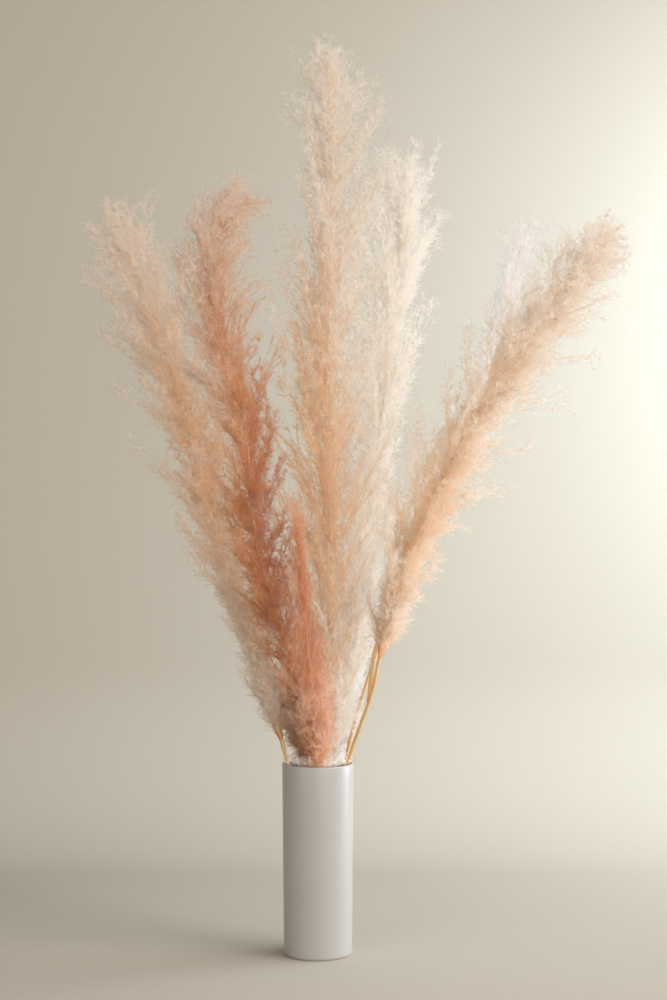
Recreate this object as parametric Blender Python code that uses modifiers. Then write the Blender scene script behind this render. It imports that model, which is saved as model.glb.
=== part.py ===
"""A bunch of seven dried pampas plumes standing in a plain white glazed cylinder vase.

Metres, +Z up. The origin is the middle of the vase's foot, on the surface that it stands on,
and the side that is mostly seen faces -Y.
"""

import math
import random

import bmesh
import bpy
import numpy as np

# Smallest space left between two pieces that rest on each other
SEAT_GAP = 0.0003

# Distances under which points of one mesh are made one, and under which an edge counts as nothing
TURN_MERGE_DISTANCE = 0.00005
WELD_DISTANCE = 0.00002
SLIVER_LENGTH = 0.00001

# Vase
VASE_HEIGHT = 0.245
VASE_TOP_RADIUS = 0.046
VASE_FOOT_RADIUS = 0.0438
VASE_WALL = 0.004
VASE_FLOOR = 0.008
VASE_FOOT_EDGE = 0.004
VASE_INNER_CORNER = 0.004
VASE_STEPS = 40
VASE_CORNER_STEPS = 2
VASE_LIP_STEPS = 4
VASE_EDGE_STEPS = 3

# Stems
STEM_RADIUS = 0.0024
STEM_FOOT_Z = VASE_FLOOR + 0.0011
STEM_POINT_SPACING = 0.022

# The slim core of a plume, and the shares of its length over which it swells and dies away
CORE_POINT_SPACING = 0.036
CORE_RADIUS = 0.0096
CORE_TIP_RADIUS = 0.0030
CORE_SWELL_SHARE = 0.22
CORE_FADE_SHARE = 0.45

# The sprays that stand out of it. Those near the top are shorter and closed up into a tip.
SPRAY_HALF_WIDTH = 0.0066
SPRAY_HALF_DEPTH = 0.0026
SPRAY_ROOT_SHARE = 0.50
SPRAY_LENGTH = 0.096
SPRAY_DROOP = 0.010
SPRAY_CLEARANCE = 0.0006
SPRAY_STATIONS = (0.0, 0.38, 0.72, 1.0)
SPRAY_THICKNESS_THERE = (SPRAY_ROOT_SHARE, 1.0, 0.80, 0.0)
SPRAY_ROOT_SINK = 0.35
SPRAY_TRIES = 9
SPRAY_TURN_STEP = 0.20
SPRAY_DRAW_IN_STEP = 0.09
SPRAY_CROWDING_UPWARDS = 0.86
SPRAY_LAST_SHARE = 0.985
SPRAY_OPENING_POWER = 1.15
SPRAY_ANGLE_DRAW = (-0.25, 0.25)
SPRAY_LENGTH_DRAW = (0.84, 1.12)
SPRAY_DROOP_DRAW = (0.4, 1.4)
SPRAY_SPREAD_DRAW = (0.80, 1.05)
TIP_FROM_SHARE = 0.80
TIP_SHORTENING = 0.42
CROWN_FROM_SHARE = 0.93
CROWN_SPREAD_DRAW = (0.25, 0.90)
BELLY_SHARE = 0.42
GOLDEN_ANGLE = math.pi * (3.0 - math.sqrt(5.0))

# Each frond: the route of its stem and rachis from the foot in the vase to the top of the rachis,
# the height at which its plume begins, the plume's reach to each side at its base, its belly and
# its top, and how many sprays it bears.
FRONDS = (
    dict(
        name="left_airy",
        route=((0.0255, -0.0145, STEM_FOOT_Z), (-0.0382, -0.004, 0.243), (-0.069, 0.010, 0.350),
               (-0.095, 0.026, 0.440), (-0.126, 0.040, 0.530), (-0.148, 0.052, 0.616),
               (-0.166, 0.060, 0.680), (-0.199, 0.070, 0.765), (-0.223, 0.078, 0.837),
               (-0.256, 0.086, 0.921)),
        plume_from=0.300, reach=(0.020, 0.056, 0.060), sprays=66, droop=1.0,
        finish="plume_beige", colour=(0.74, 0.56, 0.46), seed=11,
    ),
    dict(
        name="left_dusty",
        route=((0.023, 0.0055, STEM_FOOT_Z), (-0.0095, 0.021, 0.243), (-0.026, 0.014, 0.324),
               (-0.041, -0.004, 0.403), (-0.074, -0.026, 0.511), (-0.085, -0.036, 0.595),
               (-0.092, -0.044, 0.683), (-0.115, -0.050, 0.751), (-0.130, -0.055, 0.817),
               (-0.131, -0.060, 0.890), (-0.119, -0.062, 0.942), (-0.102, -0.062, 0.961)),
        plume_from=0.290, reach=(0.020, 0.062, 0.044), sprays=72, droop=1.6,
        finish="plume_dusty_pink", colour=(0.66, 0.36, 0.27), seed=23,
    ),
    dict(
        name="centre_tall",
        route=((0.010, 0.029, STEM_FOOT_Z), (0.0105, 0.0145, 0.243), (0.019, 0.010, 0.325),
               (0.018, 0.004, 0.428), (0.017, 0.000, 0.531), (0.013, -0.006, 0.652),
               (0.011, -0.010, 0.736), (0.016, -0.014, 0.851), (0.019, -0.018, 0.980),
               (0.017, -0.020, 1.070), (0.012, -0.020, 1.134)),
        plume_from=0.300, reach=(0.020, 0.068, 0.048), sprays=84, droop=0.8,
        finish="plume_ivory_peach", colour=(0.78, 0.60, 0.46), seed=37,
    ),
    dict(
        name="centre_cream",
        route=((-0.015, 0.029, STEM_FOOT_Z), (0.024, 0.029, 0.243), (0.044, 0.040, 0.347),
               (0.052, 0.048, 0.425), (0.063, 0.060, 0.530), (0.075, 0.070, 0.635),
               (0.090, 0.080, 0.742), (0.102, 0.090, 0.849), (0.110, 0.097, 0.935),
               (0.114, 0.100, 0.990)),
        plume_from=0.280, reach=(0.016, 0.054, 0.048), sprays=64, droop=0.8,
        finish="plume_cream", colour=(0.84, 0.72, 0.60), seed=41,
    ),
    dict(
        name="right_peach",
        route=((-0.031, 0.0035, STEM_FOOT_Z), (0.0375, -0.006, 0.243), (0.069, -0.019, 0.336),
               (0.082, -0.024, 0.396), (0.113, -0.035, 0.500), (0.151, -0.042, 0.595),
               (0.182, -0.048, 0.657), (0.224, -0.055, 0.728), (0.277, -0.060, 0.798),
               (0.318, -0.064, 0.854), (0.350, -0.066, 0.902)),
        plume_from=0.395, reach=(0.018, 0.052, 0.046), sprays=70, droop=2.2,
        finish="plume_peach", colour=(0.80, 0.55, 0.40), seed=53,
    ),
    dict(
        name="right_pale",
        route=((-0.0165, -0.0095, STEM_FOOT_Z), (0.035, 0.017, 0.243), (0.057, 0.030, 0.325),
               (0.087, 0.048, 0.412), (0.134, 0.075, 0.543), (0.162, 0.090, 0.609),
               (0.189, 0.100, 0.676), (0.217, 0.110, 0.737), (0.244, 0.122, 0.818),
               (0.262, 0.132, 0.880), (0.275, 0.140, 0.930)),
        plume_from=0.415, reach=(0.012, 0.028, 0.030), sprays=38, droop=1.0,
        finish="plume_pale", colour=(0.84, 0.76, 0.74), seed=67,
    ),
    dict(
        name="short_salmon",
        route=((0.0185, -0.0195, STEM_FOOT_Z), (0.001, -0.030, 0.243), (-0.005, -0.042, 0.330),
               (-0.012, -0.052, 0.394), (-0.018, -0.062, 0.472), (-0.024, -0.070, 0.545)),
        plume_from=0.280, reach=(0.014, 0.032, 0.022), sprays=28, droop=0.8,
        finish="plume_salmon", colour=(0.78, 0.46, 0.36), seed=79,
    ),
)

# The dry leaf sheath that still clasps one stem below its plume
SHEATH_FROND = "right_peach"
SHEATH_FROM_Z = 0.322
SHEATH_LENGTH = 0.082
SHEATH_HALF_WIDTH = 0.0030
SHEATH_HALF_DEPTH = 0.0005
SHEATH_LIFT = 0.007
SHEATH_STATIONS = (0.0, 0.25, 0.5, 0.75, 1.0)
SHEATH_THICKNESS_THERE = (0.8, 1.0, 1.0, 0.8, 0.3)
SHEATH_ROOT_SINK = 0.2

HAIR_ROUGHNESS = 0.9
STEM_COLOUR = (0.62, 0.42, 0.22)
STEM_ROUGHNESS = 0.6
GLAZE_COLOUR = (0.80, 0.80, 0.79)
GLAZE_ROUGHNESS = 0.15


class Route:
    """A smooth Catmull-Rom curve through a frond's points, read by the length along it."""

    STEPS_PER_SPAN = 24
    DIRECTION_STEP = 0.004

    def __init__(self, points):
        given = np.array(points)
        first = 2.0 * given[0] - given[1]
        last = 2.0 * given[-1] - given[-2]
        knots = np.vstack([first, given, last])
        share = np.linspace(0.0, 1.0, self.STEPS_PER_SPAN, endpoint=False)[:, None]
        spans = []
        for before, start, end, after in zip(knots, knots[1:], knots[2:], knots[3:]):
            spans.append(0.5 * (
                2.0 * start
                + (end - before) * share
                + (2.0 * before - 5.0 * start + 4.0 * end - after) * share**2
                + (3.0 * start - before - 3.0 * end + after) * share**3
            ))
        self.points = np.vstack(spans + [given[-1:]])
        steps = np.linalg.norm(np.diff(self.points, axis=0), axis=1)
        self.lengths = np.concatenate([[0.0], np.cumsum(steps)])
        self.length = self.lengths[-1]
        end = self.points[-1] - self.points[-4]
        self.end_direction = end / np.linalg.norm(end)

    def at(self, along):
        """The point at this length from the foot; past the end it runs straight on."""
        inside = [np.interp(along, self.lengths, self.points[:, axis]) for axis in range(3)]
        return np.array(inside) + self.end_direction * max(0.0, along - self.length)

    def across(self, along):
        """Two directions square to the curve and to each other."""
        run = self.at(along + self.DIRECTION_STEP) - self.at(along - self.DIRECTION_STEP)
        run /= np.linalg.norm(run)
        sideways = np.cross(run, (0.0, 1.0, 0.0))
        sideways /= np.linalg.norm(sideways)
        return sideways, np.cross(run, sideways)

    def length_to_height(self, height):
        """The length from the foot at which the curve first reaches this height."""
        return float(self.lengths[np.argmax(self.points[:, 2] >= height)])

    def stretch(self, start, end, spacing):
        """Evenly spaced points from start to end."""
        count = max(3, int(round((end - start) / spacing)) + 1)
        return [self.at(along) for along in np.linspace(start, end, count)]


def clear_scene():
    for item in list(bpy.data.objects):
        bpy.data.objects.remove(item, do_unlink=True)


def new_collection(name):
    collection = bpy.data.collections.new(name)
    bpy.context.scene.collection.children.link(collection)
    return collection


def make_material(name, colour, roughness):
    material = bpy.data.materials.new(name)
    material.use_nodes = True
    shader = material.node_tree.nodes["Principled BSDF"]
    shader.inputs["Base Color"].default_value = (*colour, 1.0)
    shader.inputs["Roughness"].default_value = roughness
    shader.inputs["Metallic"].default_value = 0.0
    material.diffuse_color = (*colour, 1.0)
    return material


def quarter_arc(centre, radius, start_angle, end_angle, steps):
    """Points of an arc in the profile's plane, as (distance from the axis, height)."""
    angles = np.linspace(start_angle, end_angle, steps + 1)
    return [(centre[0] + radius * math.cos(a), centre[1] + radius * math.sin(a)) for a in angles]


def vase_profile():
    """The wall's section: floor, inner wall, rounded lip, outer wall, foot edge and underside."""
    lip = VASE_WALL / 2.0
    inner_foot = VASE_FOOT_RADIUS - VASE_WALL
    lip_centre = (VASE_TOP_RADIUS - lip, VASE_HEIGHT - lip)
    corner_centre = (inner_foot - VASE_INNER_CORNER, VASE_FLOOR + VASE_INNER_CORNER)
    edge_centre = (VASE_FOOT_RADIUS - VASE_FOOT_EDGE, VASE_FOOT_EDGE)
    quarter = math.pi / 2.0
    points = [(0.0, VASE_FLOOR)]
    points += quarter_arc(corner_centre, VASE_INNER_CORNER, -quarter, 0.0, VASE_CORNER_STEPS)
    points += quarter_arc(lip_centre, lip, math.pi, 0.0, VASE_LIP_STEPS)
    points += quarter_arc(edge_centre, VASE_FOOT_EDGE, 0.0, -quarter, VASE_EDGE_STEPS)
    points += [(0.0, 0.0)]
    return points


def build_vase(collection):
    profile = vase_profile()
    mesh = bpy.data.meshes.new("vase")
    edges = [(i, i + 1) for i in range(len(profile) - 1)]
    mesh.from_pydata([(radius, 0.0, height) for radius, height in profile], edges, [])
    vase = bpy.data.objects.new("vase", mesh)
    collection.objects.link(vase)
    turn = vase.modifiers.new("turn", "SCREW")
    turn.axis = "Z"
    turn.angle = 2.0 * math.pi
    turn.steps = VASE_STEPS
    turn.render_steps = VASE_STEPS
    turn.use_merge_vertices = True
    turn.merge_threshold = TURN_MERGE_DISTANCE
    turn.use_smooth_shade = True
    vase.data.materials.append(make_material("white_glaze", GLAZE_COLOUR, GLAZE_ROUGHNESS))
    return vase


def section_outline(name, half_width, half_depth, corners, guides):
    """The flat closed outline that a spray or a leaf strip carries along its path."""
    curve = bpy.data.curves.new(name, "CURVE")
    curve.dimensions = "2D"
    spline = curve.splines.new("POLY")
    spline.points.add(len(corners) - 1)
    for point, (across, deep) in zip(spline.points, corners):
        point.co = (across * half_width, deep * half_depth, 0.0, 1.0)
    spline.use_cyclic_u = True
    outline = bpy.data.objects.new(name, curve)
    outline.hide_render = True
    outline.display_type = "WIRE"
    guides.objects.link(outline)
    return outline


def swept_curve(name, points, thickness, collection, outline=None, radius=None, sides=1):
    """A straight-segment curve through the points, with a thickness factor at each of them."""
    curve = bpy.data.curves.new(name, "CURVE")
    curve.dimensions = "3D"
    curve.use_fill_caps = True
    spline = curve.splines.new("POLY")
    spline.points.add(len(points) - 1)
    for point, place, factor in zip(spline.points, points, thickness):
        point.co = (*place, 1.0)
        point.radius = factor
    if outline is None:
        curve.bevel_depth = radius
        curve.bevel_resolution = sides
    else:
        curve.bevel_mode = "OBJECT"
        curve.bevel_object = outline
    item = bpy.data.objects.new(name, curve)
    collection.objects.link(item)
    return item


def curves_to_meshes(items, collection):
    """Each curve made a closed mesh object of the same name, its caps and its point welded."""
    bpy.context.view_layer.update()
    graph = bpy.context.evaluated_depsgraph_get()
    meshes = [bpy.data.meshes.new_from_object(item.evaluated_get(graph)) for item in items]
    made = []
    for item, mesh in zip(items, meshes):
        name = item.name
        place = item.matrix_world.copy()
        bpy.data.objects.remove(item, do_unlink=True)
        cage = bmesh.new()
        cage.from_mesh(mesh)
        bmesh.ops.remove_doubles(cage, verts=cage.verts, dist=WELD_DISTANCE)
        bmesh.ops.dissolve_degenerate(cage, edges=cage.edges, dist=SLIVER_LENGTH)
        bmesh.ops.triangulate(cage, faces=cage.faces)
        bmesh.ops.recalc_face_normals(cage, faces=cage.faces)
        cage.to_mesh(mesh)
        cage.free()
        solid = bpy.data.objects.new(name, mesh)
        solid.matrix_world = place
        collection.objects.link(solid)
        made.append(solid)
    return made


def segment_gaps(start, end, starts, ends):
    """Shortest distance between the segment start-end and each of the segments starts-ends."""
    own = end - start
    others = ends - starts
    between = start - starts
    own_square = own @ own
    other_square = np.einsum("ij,ij->i", others, others)
    mixed = others @ own
    own_part = between @ own
    other_part = np.einsum("ij,ij->i", others, between)
    spread = np.maximum(own_square * other_square - mixed**2, 1e-18)
    on_own = np.clip((mixed * other_part - own_part * other_square) / spread, 0.0, 1.0)
    on_other = np.clip((mixed * on_own + other_part) / other_square, 0.0, 1.0)
    on_own = np.clip((mixed * on_other - own_part) / own_square, 0.0, 1.0)
    nearest = start + on_own[:, None] * own - starts - on_other[:, None] * others
    return np.linalg.norm(nearest, axis=1)


class Occupied:
    """The stretches already taken by each frond, as segments with a radius round them."""

    def __init__(self):
        self.owners = []
        self.starts = []
        self.ends = []
        self.radii = []

    def take(self, owner, points, radii):
        for start, end, near, far in zip(points, points[1:], radii, radii[1:]):
            self.owners.append(owner)
            self.starts.append(start)
            self.ends.append(end)
            self.radii.append(max(near, far))

    def others(self, owner):
        keep = np.array(self.owners) != owner
        return np.array(self.starts)[keep], np.array(self.ends)[keep], np.array(self.radii)[keep]


def is_clear(points, radii, others):
    starts, ends, other_radii = others
    for start, end, near, far in zip(points, points[1:], radii, radii[1:]):
        needed = other_radii + max(near, far) + SPRAY_CLEARANCE
        if (segment_gaps(start, end, starts, ends) < needed).any():
            return False
    return min(point[2] for point in points) > VASE_HEIGHT + 2.0 * SPRAY_HALF_WIDTH


def core_thickness(share):
    """The core's radius along the plume: as thin as the stem at its foot, thinner at its top."""
    from_foot = STEM_RADIUS + (CORE_RADIUS - STEM_RADIUS) * share / CORE_SWELL_SHARE
    from_top = CORE_TIP_RADIUS + (CORE_RADIUS - CORE_TIP_RADIUS) * (1.0 - share) / CORE_FADE_SHARE
    return min(from_foot, from_top, CORE_RADIUS)


def plume_reach(frond, share):
    """How far the plume's hair stands from its rachis, at this share of the plume's length."""
    base, belly, top = frond["reach"]
    if share < BELLY_SHARE:
        return base + (belly - base) * math.sin(0.5 * math.pi * share / BELLY_SHARE)
    past_belly = min(1.0, (share - BELLY_SHARE) / (1.0 - BELLY_SHARE))
    return belly + (top - belly) * past_belly


def spray_points(frond, route, start, angle, spread, length, droop):
    """A spray that runs forward beside the rachis while it opens outwards and then droops."""
    points = []
    root_share = (start - frond["plume_start"]) / frond["plume_length"]
    tip_share = root_share + length / frond["plume_length"]
    root = SPRAY_ROOT_SINK * core_thickness(root_share)
    reach = plume_reach(frond, tip_share) * spread
    for station in SPRAY_STATIONS:
        along = start + length * station
        sideways, deep = route.across(along)
        outward = sideways * math.cos(angle) + deep * math.sin(angle)
        opening = math.sin(0.5 * math.pi * station) ** SPRAY_OPENING_POWER
        sag = np.array((0.0, 0.0, droop * station**2))
        points.append(route.at(along) + outward * (root + (reach - root) * opening) - sag)
    return points


def plan_sprays(frond, route, occupied):
    """The frond's sprays on a golden-angle spiral, each turned or drawn in until it is clear."""
    draw = random.Random(frond["seed"])
    others = occupied.others(frond["name"])
    planned = []
    width = [SPRAY_HALF_WIDTH * factor for factor in SPRAY_THICKNESS_THERE]
    count = frond["sprays"]
    for number in range(count):
        share = ((number + 0.5) / count) ** SPRAY_CROWDING_UPWARDS * SPRAY_LAST_SHARE
        start = frond["plume_start"] + frond["plume_length"] * share
        angle = number * GOLDEN_ANGLE + draw.uniform(*SPRAY_ANGLE_DRAW)
        closing = max(0.0, (share - TIP_FROM_SHARE) / (1.0 - TIP_FROM_SHARE))
        length = SPRAY_LENGTH * (1.0 - TIP_SHORTENING * closing) * draw.uniform(*SPRAY_LENGTH_DRAW)
        droop = SPRAY_DROOP * frond["droop"] * draw.uniform(*SPRAY_DROOP_DRAW)
        spread = draw.uniform(*SPRAY_SPREAD_DRAW)
        if share > CROWN_FROM_SHARE:
            spread *= draw.uniform(*CROWN_SPREAD_DRAW)
        for attempt in range(SPRAY_TRIES):
            turn = SPRAY_TURN_STEP * attempt * (1 if attempt % 2 else -1)
            drawn_in = spread * (1.0 - SPRAY_DRAW_IN_STEP * attempt)
            points = spray_points(frond, route, start, angle + turn, drawn_in, length, droop)
            if is_clear(points, width, others):
                planned.append(points)
                occupied.take(frond["name"], points, width)
                break
    return planned


def bodies_of(cage):
    """The cage's vertices, in one set for each separate surface."""
    unseen = set(cage.verts)
    bodies = []
    while unseen:
        body = set()
        front = {unseen.pop()}
        while front:
            body |= front
            front = {edge.other_vert(vert) for vert in front for edge in vert.link_edges} - body
        unseen -= body
        bodies.append(body)
    return bodies


def keep_one_body(item):
    """Only the biggest outer skin stays, so sealed hollows are filled and loose scraps dropped."""
    cage = bmesh.new()
    cage.from_mesh(item.data)
    bodies = bodies_of(cage)
    biggest = max(bodies, key=len)
    spare = [vert for body in bodies if body is not biggest for vert in body]
    bmesh.ops.delete(cage, geom=spare, context="VERTS")
    cage.to_mesh(item.data)
    cage.free()


def fuse(body, additions, group):
    """The additions joined to the body as one solid."""
    join = body.modifiers.new("join", "BOOLEAN")
    join.operation = "UNION"
    join.operand_type = "COLLECTION"
    join.collection = group
    join.solver = "MANIFOLD"
    bpy.context.view_layer.update()
    graph = bpy.context.evaluated_depsgraph_get()
    joined = bpy.data.meshes.new_from_object(body.evaluated_get(graph))
    body.modifiers.remove(join)
    body.data = joined
    for item in additions:
        bpy.data.objects.remove(item, do_unlink=True)
    keep_one_body(body)


def build_stem(frond, route, parts, group, outline):
    """The bare stem from the vase's floor to the foot of the plume."""
    points = route.stretch(0.0, frond["plume_start"] - SEAT_GAP, STEM_POINT_SPACING)
    name = "stem_" + frond["name"]
    curve = swept_curve(name, points, [1.0] * len(points), parts, radius=STEM_RADIUS, sides=2)
    stem = curves_to_meshes([curve], parts)[0]
    if frond["name"] == SHEATH_FROND:
        strip = swept_curve("sheath", sheath_points(route), SHEATH_THICKNESS_THERE, group, outline)
        fuse(stem, curves_to_meshes([strip], group), group)
    stem.data.materials.clear()
    stem.data.materials.append(frond["stem_material"])
    stem.data.shade_smooth()
    return stem


def sheath_points(route):
    """The path of a flat dry strip that leaves the stem at a low angle and stands a little off."""
    start = route.length_to_height(SHEATH_FROM_Z)
    points = []
    for station in SHEATH_STATIONS:
        along = start + SHEATH_LENGTH * station
        sideways, _ = route.across(along)
        lift = STEM_RADIUS * SHEATH_ROOT_SINK + SHEATH_LIFT * math.sin(0.5 * math.pi * station)
        points.append(route.at(along) + sideways * lift)
    return points


def build_plume(frond, route, sprays, parts, group, outline):
    """The plume's slim core and its sprays as one solid."""
    start = frond["plume_start"]
    points = route.stretch(start, route.length, CORE_POINT_SPACING)
    shares = np.linspace(0.0, 1.0, len(points))
    radii = [core_thickness(share) for share in shares]
    name = "plume_" + frond["name"]
    core = curves_to_meshes(
        [swept_curve(name, points, radii, parts, radius=1.0, sides=1)], parts
    )[0]
    curves = [
        swept_curve(f"spray_{number:03d}", path, SPRAY_THICKNESS_THERE, group, outline)
        for number, path in enumerate(sprays)
    ]
    fuse(core, curves_to_meshes(curves, group), group)
    core.data.materials.clear()
    core.data.materials.append(make_material(frond["finish"], frond["colour"], HAIR_ROUGHNESS))
    return core


def main():
    clear_scene()
    parts = new_collection("pampas_grass_in_vase")
    guides = new_collection("guides")
    group = new_collection("pieces_to_join")
    blade = section_outline(
        "spray_section", SPRAY_HALF_WIDTH, SPRAY_HALF_DEPTH,
        ((-1.0, -1.0), (1.0, -1.0), (0.0, 1.0)), guides,
    )
    strip = section_outline(
        "sheath_section", SHEATH_HALF_WIDTH, SHEATH_HALF_DEPTH,
        ((-1.0, -1.0), (1.0, -1.0), (1.0, 1.0), (-1.0, 1.0)), guides,
    )
    build_vase(parts)
    stem_material = make_material("dry_stem", STEM_COLOUR, STEM_ROUGHNESS)
    occupied = Occupied()
    routes = []
    for frond in FRONDS:
        route = Route(frond["route"])
        frond["plume_start"] = route.length_to_height(frond["plume_from"])
        frond["plume_length"] = route.length - frond["plume_start"]
        frond["stem_material"] = stem_material
        whole = route.stretch(0.0, route.length, STEM_POINT_SPACING)
        heights = [point[2] for point in whole]
        taken = [CORE_RADIUS if z > frond["plume_from"] else STEM_RADIUS for z in heights]
        occupied.take(frond["name"], whole, taken)
        if frond["name"] == SHEATH_FROND:
            strip_points = sheath_points(route)
            occupied.take(frond["name"], strip_points, [SHEATH_HALF_WIDTH] * len(strip_points))
        routes.append(route)
    for frond, route in zip(FRONDS, routes):
        sprays = plan_sprays(frond, route, occupied)
        build_stem(frond, route, parts, group, strip)
        build_plume(frond, route, sprays, parts, group, blade)
    for collection in (group, guides):
        for item in list(collection.objects):
            bpy.data.objects.remove(item, do_unlink=True)
        bpy.data.collections.remove(collection)


main()
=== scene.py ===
"""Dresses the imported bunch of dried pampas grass: silky plumes, dry stems and a glazed cylinder vase.

Metres, +Z up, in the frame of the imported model: the origin is the middle of the vase's foot.
"""

import bpy
import numpy as np
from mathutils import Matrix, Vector

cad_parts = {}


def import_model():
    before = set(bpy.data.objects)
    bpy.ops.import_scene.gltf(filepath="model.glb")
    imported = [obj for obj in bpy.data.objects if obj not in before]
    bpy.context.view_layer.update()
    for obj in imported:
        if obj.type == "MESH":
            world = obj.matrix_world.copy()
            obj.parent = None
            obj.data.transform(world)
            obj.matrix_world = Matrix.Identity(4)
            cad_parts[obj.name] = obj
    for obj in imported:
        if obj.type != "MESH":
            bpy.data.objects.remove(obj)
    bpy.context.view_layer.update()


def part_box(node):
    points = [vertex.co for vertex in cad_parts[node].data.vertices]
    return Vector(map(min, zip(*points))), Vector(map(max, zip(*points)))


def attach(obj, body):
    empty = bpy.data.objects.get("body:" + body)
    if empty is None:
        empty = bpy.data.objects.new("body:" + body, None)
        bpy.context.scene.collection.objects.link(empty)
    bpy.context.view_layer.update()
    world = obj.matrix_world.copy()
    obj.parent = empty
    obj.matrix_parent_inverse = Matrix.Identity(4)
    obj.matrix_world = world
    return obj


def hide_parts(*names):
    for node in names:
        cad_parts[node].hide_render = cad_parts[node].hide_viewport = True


FULL_TURN = 2.0 * np.pi
QUARTER_TURN = 0.5 * np.pi
GOLDEN_ANGLE = np.pi * (3.0 - np.sqrt(5.0))
SLANTING_LINE = (0.31, 0.87, 0.38)

# The vase
VASE_HEIGHT = 0.245
VASE_TOP_RADIUS = 0.046
VASE_FOOT_RADIUS = 0.0438
VASE_WALL = 0.004
VASE_FLOOR = 0.008
VASE_FOOT_EDGE = 0.004
VASE_INNER_CORNER = 0.004
FOOT_RING_WIDTH = 0.0075
HOLLOW_FROM_SIDE = 0.0090
HOLLOW_HEIGHT = 0.0012
VASE_STEPS = 96
CORNER_STEPS = 8
LIP_STEPS = 14
WALL_STEPS = 16
FLOOR_STEPS = 5
HOLLOW_STEPS = 4

# The stems, the rachises above them and the strip of dry leaf sheath on one of them
STEM_RADIUS = 0.0024
STEM_TOP_RADIUS = STEM_RADIUS * 0.97
STEM_FOOT_Z = 0.0091
STEM_IN_PLUME = 0.004
RACHIS_IN_STEM = 0.002
RACHIS_TIP_RADIUS = 0.0006
STEM_SIDES = 12
STEM_SPACING = 0.005
STEM_FEWEST_RINGS = 8
JOINT_SPACING = 0.145
JOINT_SHIFT = 0.05
JOINT_SWELL = 0.0005
JOINT_BELL = 0.0035
SHEATH_FROND = "right_peach"
SHEATH_FROM_Z = 0.322
SHEATH_LENGTH = 0.082
SHEATH_STATIONS = 22
SHEATH_SIDES = 12
SHEATH_HALF_WIDTH = 0.0030
SHEATH_WIDTH_SHARES = (0.0, 0.25, 0.8, 1.0)
SHEATH_WIDTHS = (0.8, 1.0, 0.75, 0.15)
SHEATH_FLATNESS = 0.2
SHEATH_ROOT_LIFT = STEM_RADIUS * 0.6
SHEATH_LIFT = 0.007

# The sprays of a plume: where they start, their angles, lengths and reaches. A pair is the two
# limits of a draw. The outer ones stand in bunches.
INNER_SPREADS = (0.18, 0.66)
OUTER_SPREADS = (0.50, 1.08)
REACH_SHARES = (0.0, 0.12, 0.30, 0.50, 0.72, 0.90, 1.06)
SPRAY_CROWDING = 0.86
LAST_SPRAY_SHARE = 0.975
BUNCH = 5
BUNCH_TURN = 0.5
BUNCH_LENGTHS = (0.76, 1.14)
SHIFT_IN_BUNCH = 0.01
TURN_IN_BUNCH = 0.16
LENGTHS_IN_BUNCH = (0.86, 1.06)
SPREADS_IN_BUNCH = (0.82, 1.05)
TIP_FROM_SHARE = 0.80
CROWN_FROM_SHARE = 0.93
CROWN_SPREADS = (0.35, 1.0)
FLATNESS = 0.42
ROOT_REACH = 0.0021
SPRAY_SAG = 0.010
SAG_SHARES = (0.3, 1.5)
WAVE_REACHES = (0.0015, 0.0050)
WAVE_TURNS = (0.7, 1.8)

# The skirt sprays and the falling ones at a plume's foot, and the sprays that stray from it
SKIRT_SPRAYS = 40
SKIRT_HEIGHT = 0.045
SKIRT_LENGTHS = (0.035, 0.095)
SKIRT_REACHES = (0.30, 0.70)
SKIRT_SAGS = (0.1, 1.0)
SKIRT_TONE = 0.55
FALL_HEIGHTS = (0.030, 0.100)
FALL_LENGTHS = (0.035, 0.085)
FALL_REACHES = (0.3, 1.0)
STRAY_BUNCH = 3
STRAY_WEIGHT = 1.0
STRAY_SHIFT = 0.01
STRAY_TURN = 0.15
STRAY_LENGTH_SHARE = 0.12
STRAY_REACH_SHARE = 0.08

# The thread that carries each spray's hairs
SPRAY_STATIONS = 7
THREAD_SIDES = 3
THREAD_RADIUS = 0.00034
THREAD_TIP_RADIUS = 0.00010

# The branchlets on the sprays and the silky hairs on the branchlets. Lifts are degrees, and the
# branchlets' places along a spray are a beta draw of these two numbers.
BRANCHLET_PLACES = (1.25, 1.00)
BRANCHLET_RADIUS = 0.00026
BRANCHLET_LENGTHS = (0.013, 0.030)
BRANCHLET_TAPER = 0.5
BRANCHLET_LIFTS = (4.0, 32.0)
BRANCHLET_CURL = 0.50
BRANCHLET_SAG = 0.10
BEND_SHARE = 0.48
RUN_STEP = 0.02
FOOT_SHARE = 0.20
FOOT_LIFT = 0.40
SILK_A_BRANCHLET = 5.6
SILK_FROM_SHARE = 0.08
SILK_RADIUS = 0.00026
SILK_LENGTHS = (0.008, 0.018)
SILK_TAPER = 0.3
SILK_LIFTS = (14.0, 62.0)

# Tones are places across the colour map, from the rachis's 0 to the tips' 1; shades are places up it
FRONT_WARMTH = 0.40
TONE_RISE = 0.72
FOOT_TONE_RISE = 0.45
TONE_NOISE = 0.06
TONE_LIMITS = (0.01, 0.99)
BRANCHLET_TONE = 0.10
BRANCHLET_LIFT_TONE = 0.22
SILK_TONE = 0.12
SILK_LIFT_TONE = 0.10
SILK_TONE_NOISE = 0.03
THREAD_TONE = 0.06
THREAD_TONE_RISE = 0.36
THREAD_FADE = 0.5
THREAD_TONE_LIMITS = (0.02, 0.97)
TUBE_SHADE = 0.42
TUBE_SHADE_RANGE = 0.16
BRANCHLET_SHADE = 0.5
BRANCHLET_SHADE_NOISE = 0.15
BRANCHLET_SHADE_LIMITS = (0.06, 0.94)
BRANCHLET_SHADE_STEPS = (0.0, -0.02, 0.0, 0.02, 0.01)
SILK_SHADE_NOISE = 0.07
SILK_SHADE_LIMITS = (0.05, 0.93)
SILK_SHADE_STEPS = (-0.02, 0.0, 0.02, 0.01)

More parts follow.
